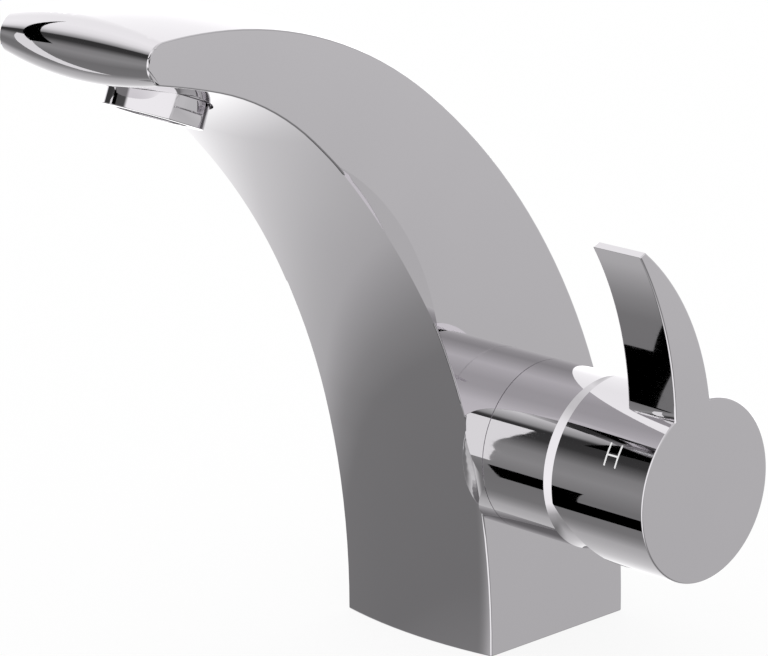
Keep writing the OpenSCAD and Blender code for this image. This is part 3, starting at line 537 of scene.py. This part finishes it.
mesh = threadedBar(studForm)
top, threadTop, radius = studForm["high"], studForm["threadTop"], studForm["radius"]
shank = bmesh.ops.create_cone(mesh, cap_ends=True, segments=studForm["shankSides"], radius1=radius * mm,
                              radius2=radius * mm, depth=(top - threadTop) * mm)
bmesh.ops.translate(mesh, verts=shank["verts"], vec=(0, studSpot[1], (top + threadTop) / 2 * mm))
sharpen(mesh, studForm["angle"])
stud = pieceFrom(mesh, "threadedStud", ("zincSteel",), "fixed", "fixing_stud")
print("stud:", len(stud.data.polygons), "faces")

nutForm = {"low": -45, "height": 20, "flat": 6.5, "face": 0.2, "spare": 0.01, "chamfer": 30, "segments": 96,
           "angle": 20}
nut = pieceFrom(mergedCopy("fixing_nut"), "longNut", ("nutBrass",), "fixed", "fixing_nut")
low, high, faceR = nutForm["low"], nutForm["low"] + nutForm["height"], nutForm["flat"] - nutForm["face"]
corner = nutForm["flat"] / cos(pi / 6)
drop = (corner - faceR) * tan(radians(nutForm["chamfer"]))
wide = corner + nutForm["spare"]
lensLine = [(low, 0), (low, faceR), (low + drop, wide), (high - drop, wide), (high, faceR), (high, 0)]
lens = objectFrom(turned(lensLine, nutForm["segments"], Vector(studSpot), Vector((0, 0, 1))), "nutLens")
cutNut = nut.modifiers.new("turnedCorners", "BOOLEAN")
cutNut.operation, cutNut.object, cutNut.solver = "INTERSECT", lens, "EXACT"
bakeModifiers(nut)
bpy.data.objects.remove(lens)
mesh = bmesh.new()
mesh.from_mesh(nut.data)
sharpen(mesh, nutForm["angle"])
mesh.to_mesh(nut.data)
mesh.free()
for name in ("threadedStud", "longNut", "clampPad", "clampHorseshoe"):
    bpy.data.objects[name].visible_glossy = False   # the deck would hide these from the plating
print("nut:", len(nut.data.polygons), "faces")

# The hot mark: an H of white enamel let into the lever's cylinder
markForm = {"radius": leverForm["radius"], "proud": 0.03, "deep": 0.2, "stroke": 0.42, "lines": (71.3, 74.6),
            "from": 21, "to": 35.5, "bar": 28, "steps": 8}


def enamelStroke(mesh, xLow, xHigh, angleLow, angleHigh, steps):
    # A block that is cut across and then bent round the lever's axis
    made = bmesh.ops.create_cube(mesh, size=1)
    verts = made["verts"]
    lengthwise = [e for v in verts for e in v.link_edges
                  if abs(e.verts[0].co.z - e.verts[1].co.z) > 0.5]
    bmesh.ops.subdivide_edges(mesh, edges=list(set(lengthwise)), cuts=steps)
    for v in [v for v in mesh.verts if not v.tag]:
        angle = radians(angleLow + (v.co.z + 0.5) * (angleHigh - angleLow))
        out = markForm["radius"] + (markForm["proud"] if v.co.y > 0 else -markForm["deep"])
        x = xLow + (v.co.x + 0.5) * (xHigh - xLow)
        v.co = Vector((x, leverAxis["y"] - out * cos(angle), leverAxis["z"] + out * sin(angle))) * mm
        v.tag = True


mesh = bmesh.new()
half = markForm["stroke"] / 2
for x in markForm["lines"]:
    enamelStroke(mesh, x - half, x + half, markForm["from"], markForm["to"], markForm["steps"])
barHalf = degrees(half / markForm["radius"])
enamelStroke(mesh, markForm["lines"][0] + half, markForm["lines"][1] - half,
             markForm["bar"] - barHalf, markForm["bar"] + barHalf, 1)
bmesh.ops.recalc_face_normals(mesh, faces=mesh.faces)
mark = pieceFrom(mesh, "hotMark", ("markEnamel",), "lever")
print("hot mark made")

# Studio: pale floor, soft world, and cards that only the plating sees
def newPaint(name):
    paint = bpy.data.materials.new(name)
    paint.use_nodes = True
    return paint, paint.node_tree, paint.node_tree.nodes["Material Output"].inputs["Surface"]


floorForm = {"radius": 6.0, "tone": 0.99, "segments": 96, "glow": 0.85}
paint, tree, surface = newPaint("palePaper")
matt = tree.nodes["Principled BSDF"]
matt.inputs["Base Color"].default_value = (*[floorForm["tone"]] * 3, 1)
matt.inputs["Roughness"].default_value = 1
matt.inputs["Specular IOR Level"].default_value = 0
looking = addNode(tree, "LightPath")
share = addNode(tree, "Math", {0: looking.outputs["Is Camera Ray"], 1: floorForm["glow"]}, operation="MULTIPLY")
glow = addNode(tree, "Emission", {"Color": (1, 1, 1, 1), "Strength": 1.0})
paper = addNode(tree, "MixShader", {0: share.outputs[0], 1: matt.outputs[0], 2: glow.outputs[0]})
tree.links.new(paper.outputs[0], surface)
mesh = bmesh.new()
bmesh.ops.create_circle(mesh, cap_ends=True, segments=floorForm["segments"], radius=floorForm["radius"])
floor = objectFrom(mesh, "floor")
floor.data.materials.append(paint)
floor.visible_glossy = False

# Cards: a brightness and the corners in mm
cards = {
    "leverTopBand": {"light": 0.0, "corners": ((-75, -171, 163), (-50, -171, 169), (-50, -127, 209))},
    "bossGlow": {"light": 1.15, "corners": (
        (-160, -206, 5), (-118, -206, 5), (-112.5, -206, 36), (-110.5, -206, 56), (-112, -206, 69),
        (-112.5, -202, 123), (-116.5, -198, 158), (-123.5, -194, 186), (-160, -194, 186))},
    "leverLowBand": {"light": 0.0, "corners": ((-18, -110, 1), (16, -110, 1), (36, -79, 1), (-2, -79, 1))},
    "sleeveLowBand": {"light": 0.0, "corners": ((-87, -166, 1), (-48, -166, 1), (-6, -106, 1), (-36, -106, 1))},
}
for name, card in cards.items():
    mesh = bmesh.new()
    bmesh.ops.contextual_create(mesh, geom=[mesh.verts.new(Vector(corner) * mm) for corner in card["corners"]])
    strip = objectFrom(mesh, name)
    paint, tree, surface = newPaint(name)
    glow = addNode(tree, "Emission", {"Color": (1, 1, 1, 1), "Strength": card["light"]})
    tree.links.new(glow.outputs[0], surface)
    strip.data.materials.append(paint)
    strip.visible_camera = strip.visible_diffuse = strip.visible_shadow = strip.visible_transmission = False

# Light levels that the plating sees round the X axis: 0 is the front, 90 above, 180 behind, -90 below
studioLevels = {
    "left": ((-180, 1.74), (-160, 1.7), (-145, 1.35), (-130, 1.18), (-110, 0.87), (-90, 0.7), (-80, 0.63),
             (-75, 0.52), (-68, 0.38), (-60, 0.28), (-30, 0.26), (-5, 0.4), (10, 0.34), (20, 0.16),
             (27, 0.06), (40.5, 0.05), (43.5, 0.42), (50, 0.7), (58, 1.1), (68, 1.3), (85, 1.4),
             (120, 1.33), (150, 1.42), (162, 1.6), (180, 1.74)),
    "right": ((-180, 0.84), (-166, 0.84), (-158, 0.72), (-140, 0.6), (-130, 0.47), (-120, 0.3), (-80, 0.28),
              (-60, 0.6), (-45, 1.4), (-20, 1.5), (10, 1.45), (40, 1.42), (55, 1.35), (65, 1.1), (75, 0.93),
              (90, 0.92), (100, 1.03), (115, 1.2), (125, 1.0), (135, 0.8), (148, 0.62), (165, 0.7), (180, 0.84)),
    "seam": (-0.38, -0.22), "strength": 2.0, "backdrop": 1.0}

world = bpy.data.worlds.new("studio")
scene.world = world
world.use_nodes = True
tree = world.node_tree
seen = addNode(tree, "TexCoord")
apart = addNode(tree, "SeparateXYZ", {0: seen.outputs["Generated"]})
front = addNode(tree, "Math", {0: apart.outputs["Y"], 1: -1.0}, operation="MULTIPLY")
around = addNode(tree, "Math", {0: apart.outputs["Z"], 1: front.outputs[0]}, operation="ARCTAN2")
turn = addNode(tree, "MapRange", {"Value": around.outputs[0], "From Min": -pi, "From Max": pi})


def levelRamp(stops):
    # The ramp holds levels of 0 to 1, and the background's strength brings them back
    ramp = addNode(tree, "ValToRGB", {"Fac": turn.outputs[0]})
    elements = ramp.color_ramp.elements
    elements.remove(elements[1])
    for k, (angle, level) in enumerate(stops):
        stop = elements[0] if k == 0 else elements.new((angle + 180) / 360)
        stop.position = (angle + 180) / 360
        stop.color = (*[level / studioLevels["strength"]] * 3, 1)
    return ramp.outputs["Color"]


side = addNode(tree, "MapRange", {"Value": apart.outputs["X"], "From Min": studioLevels["seam"][0],
                                  "From Max": studioLevels["seam"][1]}, interpolation_type="SMOOTHSTEP")
mixed = addNode(tree, "Mix", {"Factor": side.outputs[0]}, data_type="RGBA")
tree.links.new(levelRamp(studioLevels["left"]), mixed.inputs["A"])
tree.links.new(levelRamp(studioLevels["right"]), mixed.inputs["B"])
softBoxes = tree.nodes["Background"]
softBoxes.inputs["Strength"].default_value = studioLevels["strength"]
tree.links.new(mixed.outputs["Result"], softBoxes.inputs["Color"])
backdrop = addNode(tree, "Background", {"Color": (*[studioLevels["backdrop"]] * 3, 1)})
rays = addNode(tree, "LightPath")
choice = addNode(tree, "MixShader", {0: rays.outputs["Is Glossy Ray"], 1: backdrop.outputs[0],
                                     2: softBoxes.outputs[0]})
tree.links.new(choice.outputs[0], tree.nodes["World Output"].inputs["Surface"])
scene.view_settings.view_transform = "Standard"
print("studio made")
